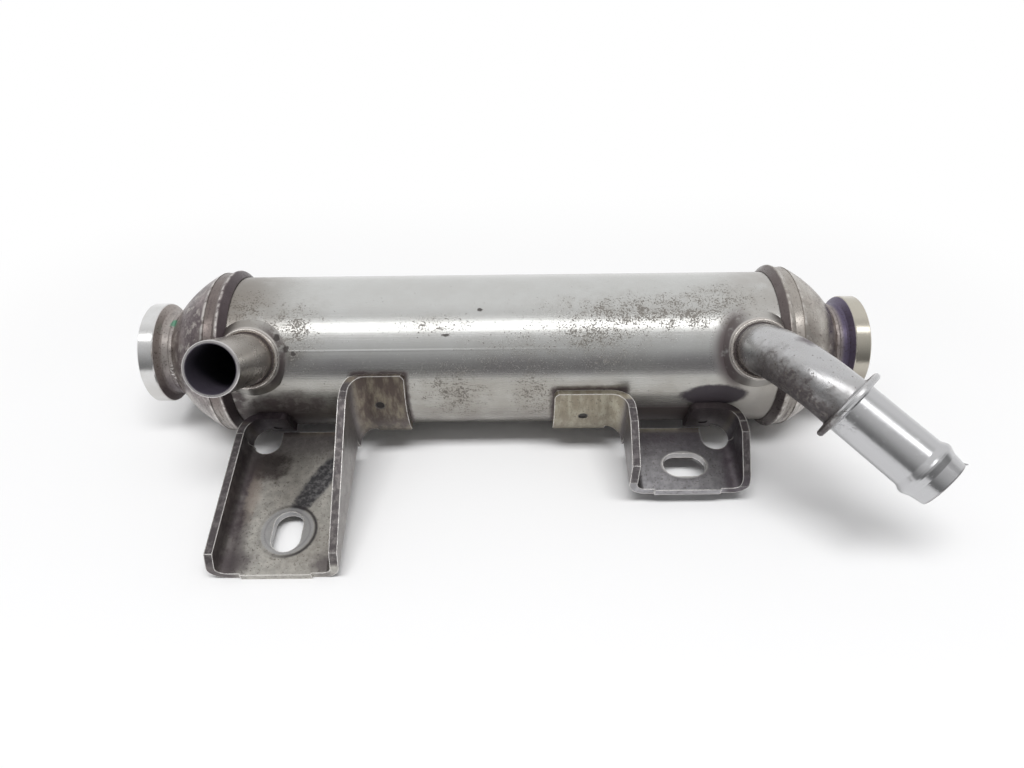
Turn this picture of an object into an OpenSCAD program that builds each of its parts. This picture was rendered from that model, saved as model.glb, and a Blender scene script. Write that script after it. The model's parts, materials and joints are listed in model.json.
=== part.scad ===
// Exhaust gas cooler: a stainless shell with a bundle of gas tubes, two pressed end cones with
// turned clamp-band flanges, two coolant pipes and two folded sheet brackets brazed to the shell.
// Millimetres. X runs along the shell from the inlet flange face, Z is up, and the part lies on
// the lips of its cones and the front edge of the long bracket.

/* [Shell] */
// Outside diameter of the shell tube
shell_od = 51; // [48:0.5:60]
// Wall of the shell tube
shell_wall = 1.5; // [1:0.1:2]
// Distance between the lips of the two end cones
lip_span = 180; // [172:1:260]
// Distance of each coolant pipe from the lip next to it
pipe_inset = 10; // [9.5:0.5:14]

/* [End cones] */
// Sheet of the pressed end cones
cone_wall = 1.6; // [1.2:0.1:2]
// Length of the skirt, from the lip to the shoulder
skirt_length = 5; // [4.5:0.5:8]
// Length of the rounded cone, from the shoulder to the neck
dome_length = 14.8; // [12:0.2:20]
// Radius of the cone's outline
dome_radius = 42.8; // [30:0.2:80]
// Height of the raised lip above the skirt
lip_rise = 0.7; // [0.3:0.1:1]

/* [Gas flanges] */
// Outside diameter of the neck between cone and flange
neck_od = 28; // [24:0.5:32]
// Outside diameter of the clamp-band rim
rim_od = 33.8; // [32:0.2:42]
// Width of the bright rim
rim_width = 5; // [3:0.2:7]
// Length of the neck that shows behind the rim
neck_length = 4; // [2:0.2:8]
// Diameter of the gas bore through the flange
gas_bore = 22.4; // [18:0.2:22.6]

/* [Gas tubes] */
// Outside diameter of one gas tube
tube_od = 7.4; // [5:0.1:7.6]
// Wall of one gas tube
tube_wall = 0.5; // [0.4:0.05:0.8]
// Distance between neighbouring gas tubes
tube_pitch = 9.2; // [8.6:0.1:9.6]
// Thickness of the tube plates
header_thickness = 2; // [1.5:0.1:3]

/* [Coolant pipes] */
// Outside diameter of both coolant pipes
pipe_od = 16; // [12:0.5:17]
// Wall of both coolant pipes
pipe_wall = 1; // [0.8:0.1:1.5]
// Angle of the straight stub above the bracket plates
stub_angle = 41.5; // [35:0.5:50]
// Distance of the stub's open end from the shell axis
stub_reach = 57; // [46:0.5:80]
// Angle of the bent pipe above the bracket plates where it leaves the shell
elbow_angle = 44; // [38:0.5:50]
// Turn of the bent pipe's plane about its first axis
elbow_turn = 44; // [30:1:55]
// Radius of the bend
elbow_radius = 28.5; // [22:0.5:34]
// Angle of the bend
elbow_bend = 69; // [60:1:90]
// Length of the straight hose end behind the bend
hose_length = 33.5; // [30:0.5:50]
// Distance of the stop bead's middle from the bend
bead_at = 2.6; // [2:0.2:8]
// Outside diameter of the stop bead
bead_od = 22.8; // [20:0.2:26]

/* [Brackets] */
// Sheet of both brackets
sheet = 2.5; // [2:0.1:3]
// Outside width of both channels
channel_width = 38.4; // [34:0.2:46]
// Drop of the plates' underside below the shell axis
plate_drop = 14.3; // [12:0.1:17]
// Reach of the long bracket in front of the shell axis
long_reach = 79; // [70:0.5:95]
// Reach of the short bracket in front of the shell axis
short_reach = 51.4; // [50:0.2:62]
// Width of both bolt slots
slot_width = 9; // [6.6:0.1:10]
// Length of both bolt slots
slot_length = 13.8; // [11:0.1:18]
// Distance of the long bracket from the inlet lip
long_inset = 3.2; // [2.8:0.1:3.6]
// Distance of the short bracket from the outlet lip
short_inset = 12.8; // [12:0.1:14]

/* [Hidden] */
$fn = 64;
// braze gap round the pieces that are slid together
gap = 0.08;
// shell and cones
shell_r = shell_od / 2;
bore_r = shell_r - shell_wall;
skirt_in = shell_r + gap;
skirt_r = skirt_in + cone_wall;
lip_r = skirt_r + lip_rise;
lip_run = 2.3;
shoulder_r = skirt_r - 0.3;
neck_r = neck_od / 2;
neck_s = skirt_length + dome_length;
seam_s = neck_s + 0.6;
face_s = seam_s + neck_length + rim_width + 0.6;
lip_in = face_s;
lip_out = face_s + lip_span;
total = lip_span + 2 * face_s;
shell_end = 3.6;
// the cone's outline is a circle through the shoulder and the neck
chord = norm([shoulder_r - neck_r, dome_length]);
sag = sqrt(dome_radius * dome_radius - chord * chord / 4);
dome_cr = (shoulder_r + neck_r) / 2 - sag * dome_length / chord;
dome_cs = skirt_length + dome_length / 2 - sag * (shoulder_r - neck_r) / chord;
// flanges
rim_r = rim_od / 2;
spigot_r = neck_r - cone_wall - gap;
spigot_run = 2.6;
back_run = 1.2;
// coolant pipes
pipe_r = pipe_od / 2;
pipe_in = pipe_r - pipe_wall;
foot_r = pipe_r - 0.3;
collar_r = pipe_r + gap + shell_wall;
collar_top = shell_r + 3;
pipe_foot = bore_r - 1;
pipe_stop = collar_top + gap;
elbow_start = collar_top + 0.4;
// the straight parts lap over the ends of the bend, which bending has drawn a little thinner
lap = 0.6;
thin = 0.05;
bead_r = bead_od / 2;
barb_r = pipe_r + 0.7;
stub_x = lip_in + pipe_inset;
elbow_x = lip_out - pipe_inset;
// bundle
header_s = 0.4;
tube_hole = tube_od / 2 + gap;
tube_from = lip_in + header_s - header_thickness - 0.8;
tube_to = lip_out - header_s + header_thickness + 0.8;
hexes = [for (q = [-2 : 2]) for (r = [-2 : 2]) if (abs(q + r) <= 2) [q + r / 2, r * sqrt(3) / 2]];
// brackets
fold = 3;
fold_out = fold + sheet;
tab_fold = 5.2;
// centre-punched pit in each tab: radius and depth
pit_r = 1.5;
pit_depth = 0.4;
seat = shell_r + gap;
tab_r = seat + sheet;
fold_r = tab_r + tab_fold;
root = 1;
bend_low = asin((0.6 - plate_drop) / fold_r);
plate_z = -plate_drop;
plate_back = tab_r - 1.4;
notch_r = 4.4;
notch_u = 7.6;
notch_end = 35.5;
long_x = lip_in + long_inset;
short_x = lip_out - short_inset;
// the part rests on the lips and the long bracket's front edge
front_far = norm([long_reach, plate_drop]);
rest_tilt = asin(lip_r / front_far) - atan2(plate_drop, long_reach);

tube_names = [for (i = [1 : len(hexes)]) str("gas_tube_", i < 10 ? "0" : "", i)];

// the whole part is drawn with level bracket plates and then turned to its resting pose
module pose() {
    rotate([rest_tilt, 0, 0])
        children();
}

// a profile drawn as (radius, distance) turned about the X axis
module turned(x, way) {
    translate([x, 0, 0])
        rotate([0, 90 * way, 0])
            rotate_extrude()
                children();
}

// a profile drawn as (radius, x) turned about the X axis from angle a0 to a1 above straight ahead
module swept(a0, a1) {
    rotate([0, 90, 0])
        rotate([0, 0, 270 - a1])
            rotate_extrude(angle = a1 - a0)
                children();
}

// stands children, drawn along Z, out from the shell axis at angle a above straight ahead
module outward(x, a) {
    translate([x, 0, 0])
        rotate([90 - a, 0, 0])
            children();
}

// a straight round bar along X
module bar(x0, x1, r) {
    translate([x0, 0, 0])
        rotate([0, 90, 0])
            cylinder(h = x1 - x0, r = r);
}

// shell with its two pulled collars, made from one tube; each flare stops short of the cone's lip
module collar(x, a) {
    outward(x, a)
        translate([0, 0, bore_r])
            cylinder(h = collar_top - bore_r, r = collar_r);
    intersection() {
        outward(x, a)
            translate([0, 0, bore_r])
                cylinder(h = collar_top - bore_r - 1, r1 = collar_r + 2.6, r2 = collar_r);
        bar(lip_in + lip_run + 2 * gap, lip_out - lip_run - 2 * gap, collar_top + 2);
    }
}

module shell() {
    pose()
        color([0.66, 0.65, 0.62])
            difference() {
                union() {
                    bar(lip_in - shell_end, lip_out + shell_end, shell_r);
                    collar(stub_x, stub_angle);
                    collar(elbow_x, elbow_angle);
                }
                bar(lip_in - shell_end - 1, lip_out + shell_end + 1, bore_r);
                outward(stub_x, stub_angle)
                    cylinder(h = collar_top + 1, r = foot_r + gap);
                outward(elbow_x, elbow_angle)
                    cylinder(h = collar_top + 1, r = foot_r + gap);
            }
}

// pressed end cone: skirt with a raised lip, shoulder, rounded cone and short neck
module cone_profile() {
    difference() {
        union() {
            polygon([
                [skirt_in, -lip_run],
                [skirt_in + 0.25, -lip_run],
                [lip_r - 0.15, -0.25],
                [lip_r, 0.1],
                [lip_r - 0.1, 0.5],
                [skirt_r, 1.6],
                [shoulder_r + 0.15, skirt_length - 0.8],
                [shoulder_r, skirt_length],
                [skirt_in - 1, skirt_length + 0.4],
                [skirt_in - 1, skirt_length],
                [skirt_in, shell_end + 0.2]
            ]);
            intersection() {
                difference() {
                    translate([dome_cr, dome_cs])
                        circle(r = dome_radius);
                    translate([dome_cr, dome_cs])
                        circle(r = dome_radius - cone_wall);
                }
                translate([neck_r - cone_wall, skirt_length - 0.6])
                    square([shoulder_r, dome_length + 0.6]);
            }
            translate([neck_r - cone_wall, neck_s - 1.6])
                square([cone_wall, seam_s - neck_s + 1.6]);
        }
        translate([0, -lip_run - 1])
            square([skirt_in, lip_run + 1 + shell_end + 0.2]);
    }
}

// the lip is cut away a little where a collar stands against it
module inlet_cone() {
    pose()
        color([0.5, 0.47, 0.46])
            difference() {
                turned(lip_in, -1)
                    cone_profile();
                outward(stub_x, stub_angle)
                    cylinder(h = collar_top + 3, r = collar_r + gap);
            }
}

module outlet_cone() {
    pose()
        color([0.56, 0.54, 0.52])
            difference() {
                turned(lip_out, 1)
                    cone_profile();
                outward(elbow_x, elbow_angle)
                    cylinder(h = collar_top + 3, r = collar_r + gap);
            }
}

// turned flange: spigot inside the cone's neck, neck, sloped back face and rim
module flange_profile() {
    polygon([
        [gas_bore / 2, seam_s - spigot_run],
        [spigot_r, seam_s - spigot_run],
        [spigot_r, seam_s + gap],
        [neck_r, seam_s + gap],
        [neck_r, face_s - rim_width - back_run - 0.5],
        [neck_r + 0.5, face_s - rim_width - back_run],
        [rim_r - 0.3, face_s - rim_width - 0.1],
        [rim_r, face_s - rim_width + 0.3],
        [rim_r, face_s - 0.4],
        [rim_r - 0.4, face_s],
        [gas_bore / 2, face_s]
    ]);
}

module inlet_flange() {
    pose()
        color([0.75, 0.75, 0.74])
            turned(lip_in, -1)
                flange_profile();
}

module outlet_flange() {
    pose()
        color([0.75, 0.75, 0.74])
            turned(lip_out, 1)
                flange_profile();
}

// tube plate with a round hole for each gas tube
module header(x0) {
    difference() {
        bar(x0, x0 + header_thickness, bore_r - gap);
        for (h = hexes)
            translate([0, h[0] * tube_pitch, h[1] * tube_pitch])
                bar(x0 - 1, x0 + header_thickness + 1, tube_hole);
    }
}

module inlet_header() {
    pose()
        color([0.55, 0.53, 0.5])
            header(lip_in + header_s - header_thickness);
}

module outlet_header() {
    pose()
        color([0.55, 0.53, 0.5])
            header(lip_out - header_s);
}

// one of the gas tubes, open at both ends
module gas_tube(i) {
    pose()
        color([0.6, 0.58, 0.55])
            translate([0, hexes[i][0] * tube_pitch, hexes[i][1] * tube_pitch])
                difference() {
                    bar(tube_from, tube_to, tube_od / 2);
                    bar(tube_from - 1, tube_to + 1, tube_od / 2 - tube_wall);
                }
}

// straight coolant pipe: stepped foot that stops on the collar, plain end with a broken edge
module coolant_stub() {
    pose()
        color([0.7, 0.69, 0.67])
            outward(stub_x, stub_angle)
                rotate_extrude()
                    polygon([
                        [pipe_in, pipe_foot],
                        [foot_r, pipe_foot],
                        [foot_r, pipe_stop],
                        [pipe_r, pipe_stop],
                        [pipe_r, stub_reach - 0.25],
                        [pipe_r - 0.25, stub_reach],
                        [pipe_in, stub_reach]
                    ]);
}

// bent coolant pipe: stepped foot, bend, upset stop bead, hose section, barb and tapered end
module foot_profile() {
    polygon([
        [pipe_in, pipe_foot],
        [foot_r, pipe_foot],
        [foot_r, pipe_stop],
        [pipe_r, pipe_stop],
        [pipe_r, elbow_start + lap],
        [pipe_in, elbow_start + lap]
    ]);
}

module pipe_ring() {
    difference() {
        circle(r = pipe_r - thin);
        circle(r = pipe_in + thin);
    }
}

module hose_profile() {
    polygon([
        [pipe_in, -lap],
        [pipe_r, -lap],
        [pipe_r, bead_at - 1.4],
        [pipe_r + 0.4, bead_at - 1.1],
        [bead_r - 0.5, bead_at - 0.9],
        [bead_r, bead_at - 0.4],
        [bead_r, bead_at + 0.4],
        [bead_r - 0.5, bead_at + 0.9],
        [pipe_r + 0.4, bead_at + 1.1],
        [pipe_r, bead_at + 1.4],
        [pipe_r, hose_length - 8.2],
        [barb_r, hose_length - 6.8],
        [barb_r + 0.1, hose_length - 6.2],
        [barb_r, hose_length - 5.6],
        [pipe_r - 0.1, hose_length - 3.8],
        [pipe_r - 0.65, hose_length - 0.3],
        [pipe_r - 0.75, hose_length],
        [pipe_in, hose_length]
    ]);
}

module coolant_elbow() {
    pose()
        color([0.7, 0.69, 0.68])
            outward(elbow_x, elbow_angle)
                rotate([0, 0, -elbow_turn]) {
                    rotate_extrude()
                        foot_profile();
                    translate([elbow_radius, 0, elbow_start])
                        rotate([90, 0, 0])
                            rotate([0, 0, 180 - elbow_bend])
                                rotate_extrude(angle = elbow_bend)
                                    translate([elbow_radius, 0])
                                        pipe_ring();
                    translate([
                        elbow_radius * (1 - cos(elbow_bend)),
                        0,
                        elbow_start + elbow_radius * sin(elbow_bend)
                    ])
                        rotate([0, elbow_bend, 0])
                            rotate_extrude()
                                hose_profile();
                }
}

// folded channel seen from its end: plate, two folds and two flanges
module channel_profile(high) {
    translate([fold_out, plate_z])
        square([channel_width - 2 * fold_out, sheet]);
    translate([0, plate_z + fold_out])
        square([sheet, high - plate_z - fold_out]);
    translate([channel_width - sheet, plate_z + fold_out])
        square([sheet, high - plate_z - fold_out]);
    fold_quarter(fold_out, 0);
    fold_quarter(channel_width - fold_out, channel_width - fold_out);
}

module fold_quarter(u, corner) {
    intersection() {
        difference() {
            translate([u, plate_z + fold_out])
                circle(r = fold_out);
            translate([u, plate_z + fold_out])
                circle(r = fold);
        }
        translate([corner, plate_z])
            square(fold_out);
    }
}

// what lies outside a flange's outline, which is given as points (distance ahead, height) from its
// front edge to its back; taken off the channel
module side_cut(u0, u1, points, high) {
    ahead = points[0][0] + 1;
    behind = points[len(points) - 1];
    over = concat(
        [[ahead, points[0][1]]],
        points,
        [[behind[0] - 1, behind[1]], [behind[0] - 1, high + 1], [ahead, high + 1]]
    );
    translate([u0, 0, 0])
        rotate([90, 0, 90])
            linear_extrude(height = u1 - u0)
                polygon([for (p = over) [-p[0], p[1]]]);
}

// the part of a flange that folds round to lie on the shell
module flat_profile(u, run) {
    translate([seat + thin, u + tab_fold])
        square([sheet - 2 * thin, run - tab_fold]);
}

module bend_profile(u) {
    intersection() {
        difference() {
            translate([fold_r, u + tab_fold])
                circle(r = tab_fold + sheet - thin);
            translate([fold_r, u + tab_fold])
                circle(r = tab_fold + thin);
        }
        translate([seat, u - sheet])
            square([tab_fold + sheet, tab_fold + sheet]);
    }
    translate([fold_r, u - sheet + thin])
        square([root, sheet - 2 * thin]);
}

module tab(u, run, low, high, corner, pit_u, pit_angle) {
    turn = asin(corner / tab_r);
    difference() {
        union() {
            swept(low, high - 0.3)
                flat_profile(u, run);
            swept(bend_low, high - 0.3)
                bend_profile(u);
        }
        rotate([90 - high + turn, 0, 0])
            corner_cut(u + run, corner, 0);
        rotate([90 - low - turn, 0, 0])
            corner_cut(u + run, corner, -corner - 1);
        outward(u + pit_u, pit_angle)
            translate([0, 0, tab_r - pit_depth])
                cylinder(h = 2, r = pit_r);
        // the sheet was cut straight, so the fold's top edge is level with the tab's
        translate([u - sheet - 1, -2 * fold_r, tab_level(high) - thin])
            cube([sheet + tab_fold + 2, 2 * fold_r, fold_r]);
    }
}

module corner_cut(u_end, corner, y) {
    translate([u_end - corner, 0, seat - 2])
        linear_extrude(height = sheet + 4)
            difference() {
                translate([0, y])
                    square(corner + 1);
                circle(r = corner * 1.03);
            }
}

// bolt slot through a plate, along X or along the reach
module slot(u, ahead, along_x) {
    half = (slot_length - slot_width) / 2;
    translate([u, -ahead, plate_z - 1]) {
        for (s = [-half, half])
            translate([along_x ? s : 0, along_x ? 0 : s, 0])
                cylinder(h = sheet + 2, r = slot_width / 2);
        translate([along_x ? -half : -slot_width / 2, along_x ? -slot_width / 2 : -half, 0])
            cube([along_x ? 2 * half : slot_width, along_x ? slot_width : 2 * half, sheet + 2]);
    }
}

// room behind a flange for its tab, a little deeper below where the tab's root no longer joins it
module flange_relief(u0, u1) {
    bar(u0, u1, fold_r + 0.3);
    intersection() {
        bar(u0, u1, fold_r + root + 0.25);
        translate([u0, -2 * fold_r, plate_z - 1])
            cube([u1 - u0, 2 * fold_r, fold_out + 1.7]);
    }
}

// a whole bracket from its outer flange at u = 0 to its inner flange at u = channel_width
module bracket(reach, outer, inner, high, outer_tab, inner_tab, slot_u, slot_ahead, along_x) {
    difference() {
        rotate([90, 0, 0])
            linear_extrude(height = reach)
                channel_profile(high);
        side_cut(-1, fold_out + 0.5, outer, high);
        side_cut(channel_width - fold_out - 0.5, channel_width + 1, inner, high);
        flange_relief(-1, fold_out);
        flange_relief(channel_width - fold_out, channel_width + 1);
        translate([fold_out, -plate_back, plate_z - 1])
            cube([channel_width - 2 * fold_out, plate_back + 1, sheet + 2]);
        translate([notch_u, notch_r - notch_end, plate_z - 1])
            cylinder(h = sheet + 2, r = notch_r);
        translate([notch_u - notch_r, notch_r - notch_end, plate_z - 1])
            cube([2 * notch_r, notch_end, sheet + 2]);
        slot(slot_u, slot_ahead, along_x);
        // the sheared front edge stands out a little between the folds
        translate([-1, -reach - 1, plate_z - 1])
            cube([10, 1.5, fold_out + 2]);
        translate([channel_width - 8.4, -reach - 1, plate_z - 1])
            cube([10, 1.5, fold_out + 2]);
    }
    tab(sheet, outer_tab[0], outer_tab[1], outer_tab[2], outer_tab[3], outer_tab[4], outer_tab[5]);
    tab(channel_width, inner_tab[0], inner_tab[1], inner_tab[2], inner_tab[3], inner_tab[4],
        inner_tab[5]);
}

// where a flange's top edge leaves its tab
function on_fold(a) = (fold_r + root + 0.1) * [cos(a), sin(a)];

// height of a tab's top edge, which its flange shares
function tab_level(a) = tab_r * sin(a);

long_low = -5.3;
long_high = 29.4;
long_tip = plate_z + 9.6;
long_outer = [
    [long_reach, plate_z + 3],
    [long_reach - 1, plate_z + 6],
    [long_reach - 3.1, long_tip],
    on_fold(long_low),
    [0, on_fold(long_low)[1]]
];
long_inner = [
    [long_reach, plate_z + 3],
    [long_reach - 1, plate_z + 6],
    [long_reach - 3.1, long_tip],
    [tab_r + 6, tab_level(long_high)],
    [0, tab_level(long_high)]
];

module long_bracket() {
    pose()
        color([0.5, 0.48, 0.45])
            translate([long_x, 0, 0])
                bracket(long_reach, long_outer, long_inner, fold_r,
                    [13, -36, long_low, 3.5, 8.1, -20.6], [16.8, -31, long_high, 2.4, 8.4, 6.7],
                    channel_width / 2 + 1.2, long_reach - 14.4, false);
}

// how far the top of the short bracket's flanges stands ahead of their tabs' folds
flange_land = 4.72;
short_low = 1.1;
short_high = 14.6;
short_outer = [
    [short_reach, plate_z + 2.6],
    [short_reach - 2.6, plate_z + 6.3],
    [fold_r + flange_land, fold_r * sin(short_low)],
    on_fold(short_low),
    [0, on_fold(short_low)[1]]
];
short_inner = [
    [short_reach, plate_z + 4],
    [short_reach - 0.8, plate_z + 14.8],
    [fold_r + flange_land + 0.2, tab_level(short_high)],
    [0, tab_level(short_high)]
];

module short_bracket() {
    pose()
        color([0.5, 0.48, 0.45])
            translate([short_x, 0, 0])
                mirror([1, 0, 0])
                    bracket(short_reach, short_outer, short_inner, fold_r,
                        [14.2, -36, short_low, 3.5, 8.8, -17.5], [22.8, -34, short_high, 2.4, 13.3, -6.7],
                        channel_width / 2, short_reach - 9.8, true);
}

shell();
inlet_cone();
outlet_cone();
inlet_flange();
outlet_flange();
inlet_header();
outlet_header();
coolant_stub();
coolant_elbow();
long_bracket();
short_bracket();
for (i = [0 : len(hexes) - 1])
    gas_tube(i);
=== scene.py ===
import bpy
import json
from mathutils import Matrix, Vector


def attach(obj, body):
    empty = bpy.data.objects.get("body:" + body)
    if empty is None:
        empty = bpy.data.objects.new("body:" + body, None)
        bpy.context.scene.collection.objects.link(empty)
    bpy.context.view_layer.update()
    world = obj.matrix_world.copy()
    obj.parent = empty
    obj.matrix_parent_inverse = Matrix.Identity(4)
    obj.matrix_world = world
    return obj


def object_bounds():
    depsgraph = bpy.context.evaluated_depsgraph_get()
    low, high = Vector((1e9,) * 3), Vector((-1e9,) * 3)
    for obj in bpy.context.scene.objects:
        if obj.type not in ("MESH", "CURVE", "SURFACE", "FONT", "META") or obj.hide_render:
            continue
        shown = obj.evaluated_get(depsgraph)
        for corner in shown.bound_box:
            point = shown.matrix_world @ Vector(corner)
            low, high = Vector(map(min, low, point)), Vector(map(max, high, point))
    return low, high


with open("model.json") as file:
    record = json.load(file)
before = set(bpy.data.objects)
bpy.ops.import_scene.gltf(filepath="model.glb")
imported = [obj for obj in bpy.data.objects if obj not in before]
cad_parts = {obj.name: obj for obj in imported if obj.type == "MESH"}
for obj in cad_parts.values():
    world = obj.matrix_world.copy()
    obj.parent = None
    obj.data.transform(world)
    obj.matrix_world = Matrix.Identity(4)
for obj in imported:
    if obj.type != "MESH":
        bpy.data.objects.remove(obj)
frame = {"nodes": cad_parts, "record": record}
cad_box = [list(corner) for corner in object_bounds()]

import json
import math

import bpy
import numpy as np
from mathutils import Matrix, Vector

# The camera. It stands in front of the cooler and looks down by 39 degrees, with a lens of 750
# pixels on an image of 1024 by 768 and the slight roll of a hand-held shot.
scene = bpy.context.scene
scene.view_settings.view_transform = "Standard"
camera_data = bpy.data.cameras.new("camera")
sensor_mm, focal_pixels, image_width = 36.0, 750, 1024
camera_data.sensor_width = sensor_mm
camera_data.lens = sensor_mm * focal_pixels / image_width
camera_data.clip_start, camera_data.clip_end = 0.01, 50.0
camera = bpy.data.objects.new("camera", camera_data)
scene.collection.objects.link(camera)
look_down, roll = math.radians(38.94), math.radians(0.64)
eye = (0.1224, -0.2112, 0.1547)
level = Vector((1, 0, 0))
raised = Vector((0, math.sin(look_down), math.cos(look_down)))
right = level * math.cos(roll) - raised * math.sin(roll)
upward = raised * math.cos(roll) + level * math.sin(roll)
towards_eye = right.cross(upward)
camera.matrix_world = (
    Matrix.Translation(eye)
    @ Matrix((right, upward, towards_eye)).transposed().to_4x4()
)
scene.camera = camera

# The light: one long softbox overhead and a little in front, with a key lamp of the same direction
# that only lights matt surfaces, a white backdrop behind and a dim room in front. The white table
# ends in front of the camera, so low in front the metal mirrors the room.
def wire(tree, kind, feeds=None, **settings):
    """One shader node. feeds maps an input's name or number to a value or to an output socket."""
    made = tree.nodes.new("ShaderNode" + kind)
    for name, value in settings.items():
        setattr(made, name, value)
    for key, feed in (feeds or {}).items():
        if isinstance(feed, bpy.types.NodeSocket):
            tree.links.new(feed, made.inputs[key])
        else:
            made.inputs[key].default_value = feed
    return made


def sums(tree, operation, a, b=0.0, c=0.0):
    """A Math node on numbers or sockets, as its output."""
    return wire(tree, "Math", {0: a, 1: b, 2: c}, operation=operation).outputs[0]


def vectors(tree, operation, a, b=(0, 0, 0), output=0):
    """A Vector Math node, as one of its outputs (0 the vector, 1 the number)."""
    return wire(tree, "VectorMath", {0: a, 1: b}, operation=operation).outputs[output]


def rise(tree, value, low, high, least=0.0, most=1.0):
    """A smooth step of value from least at low to most at high."""
    feeds = {"Value": value, "From Min": low, "From Max": high, "To Min": least, "To Max": most}
    return wire(tree, "MapRange", feeds, interpolation_type="SMOOTHSTEP").outputs[0]


lamp_height, lamp_distance = math.radians(71), 1.3
cooler_middle = Vector((0.12, 0, 0))
overhead = Vector((0, -math.cos(lamp_height), math.sin(lamp_height)))
for lamp_name, long_side, short_side, watts, mirrored in (
    ("softbox", 2.0, 0.28, 4.2, True),
    ("key", 1.0, 0.26, 11.4, False),
):
    lamp_data = bpy.data.lights.new(lamp_name, "AREA")
    lamp_data.shape = "RECTANGLE"
    lamp_data.size, lamp_data.size_y = long_side, short_side
    lamp_data.energy = watts
    lamp = bpy.data.objects.new(lamp_name, lamp_data)
    lamp.visible_glossy = mirrored
    scene.collection.objects.link(lamp)
    lamp.matrix_world = (
        Matrix.Translation(cooler_middle + overhead * lamp_distance)
        @ overhead.to_track_quat("Z", "Y").to_matrix().to_4x4()
    )

world = bpy.data.worlds.new("room")
world.use_nodes = True
scene.world = world
room = world.node_tree
room.nodes.clear()
way = wire(room, "SeparateXYZ", {0: wire(room, "TexCoord").outputs["Generated"]})
room_low, room_high, wall_behind, matt_share = 0.2, 0.72, 0.93, 0.42
front = rise(room, way.outputs["Z"], 0.0, 0.95, room_low, room_high)
behind = rise(room, way.outputs["Y"], -0.05, 0.28)
shade = sums(room, "MULTIPLY_ADD", behind, sums(room, "SUBTRACT", wall_behind, front), front)
path = wire(room, "LightPath").outputs
dimmed = rise(room, path["Is Diffuse Ray"], 0.0, 1.0, 1.0, matt_share)
shade = sums(room, "MULTIPLY", shade, dimmed)
shade = sums(room, "MAXIMUM", shade, path["Is Camera Ray"])
backdrop = wire(room, "Background", {"Color": (1, 1, 1, 1), "Strength": shade})
wire(room, "OutputWorld", {"Surface": backdrop.outputs[0]})

table_mesh = bpy.data.meshes.new("table")
wide, near, far, table_z = 4.0, -0.34, 6.0, cad_box[0][2]
table_mesh.from_pydata(
    [(-wide, near, table_z), (wide, near, table_z), (wide, far, table_z), (-wide, far, table_z)],
    [],
    [(0, 1, 2, 3)],
)
table = bpy.data.objects.new("table", table_mesh)
scene.collection.objects.link(table)
table_paint = bpy.data.materials.new("white_table")
table_paint.use_nodes = True
tree = table_paint.node_tree
tree.nodes.clear()
paint = {"Base Color": (0.93, 0.93, 0.935, 1), "Roughness": 0.9, "Specular IOR Level": 0.0}
matt = wire(tree, "BsdfPrincipled", paint)
# away from the cooler the table turns into the white backdrop, for the eye and for mirrors only
footing = wire(tree, "TexCoord").outputs["Object"]
footprint, half_footprint = (0.12, -0.02, table_z), (0.12, 0.05, 0)
outside = vectors(tree, "ABSOLUTE", vectors(tree, "SUBTRACT", footing, footprint))
outside = vectors(tree, "SUBTRACT", outside, half_footprint)
outside = vectors(tree, "LENGTH", vectors(tree, "MAXIMUM", outside, (0, 0, 0)), output=1)
path = wire(tree, "LightPath").outputs
seen = sums(tree, "MAXIMUM", path["Is Camera Ray"], path["Is Glossy Ray"])
seen = sums(tree, "MAXIMUM", seen, path["Is Transmission Ray"])
share = sums(tree, "MULTIPLY", seen, rise(tree, outside, 0.015, 0.16))
white = wire(tree, "Emission", {"Color": (1, 1, 1, 1), "Strength": 1.0})
blend = wire(tree, "MixShader", {0: share, 1: matt.outputs[0], 2: white.outputs[0]})
wire(tree, "OutputMaterial", {"Surface": blend.outputs[0]})
table_mesh.materials.append(table_paint)

# The shell: a stainless tube of 51 mm with a flush lengthwise seam and two collars pulled out of
# its wall for the coolant pipes. Satin and clean on top, dusty near the inlet, with a tan film
# lower down, dark crescents by the collars and dark specks of road dirt in clusters. Painted
# highlights lie along the seam and on the collar rims; painted shade lies underneath, round the
# tabs, at the pipe joints and low where the bracket plates meet the shell.
parts = frame["nodes"]
mounts = {mount["name"]: mount for mount in frame["record"]["mounts"]}
foot_axis = mounts["long_foot"]["axis"]
rest_tilt = math.atan2(foot_axis[1], -foot_axis[2])
shell_r, middle_x, lip_from_middle = 25.5, 120.0, 90.0


def effect(name, takes, gives):
    """An empty shader node group: its tree, its inputs inside and its outputs inside."""
    kinds = {"f": "NodeSocketFloat", "v": "NodeSocketVector"}
    made = bpy.data.node_groups.new(name, "ShaderNodeTree")
    for label, value in takes.items():
        kind = kinds["v" if isinstance(value, tuple) else "f"]
        made.interface.new_socket(label, in_out="INPUT", socket_type=kind).default_value = value
    for label, kind in gives.items():
        made.interface.new_socket(label, in_out="OUTPUT", socket_type=kinds[kind])
    inside = made.nodes.new("NodeGroupInput").outputs
    return made, inside, made.nodes.new("NodeGroupOutput").inputs


def placed(tree, group, feeds=None):
    """The outputs of a group placed in tree."""
    return wire(tree, "Group", feeds, node_tree=group).outputs


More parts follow.
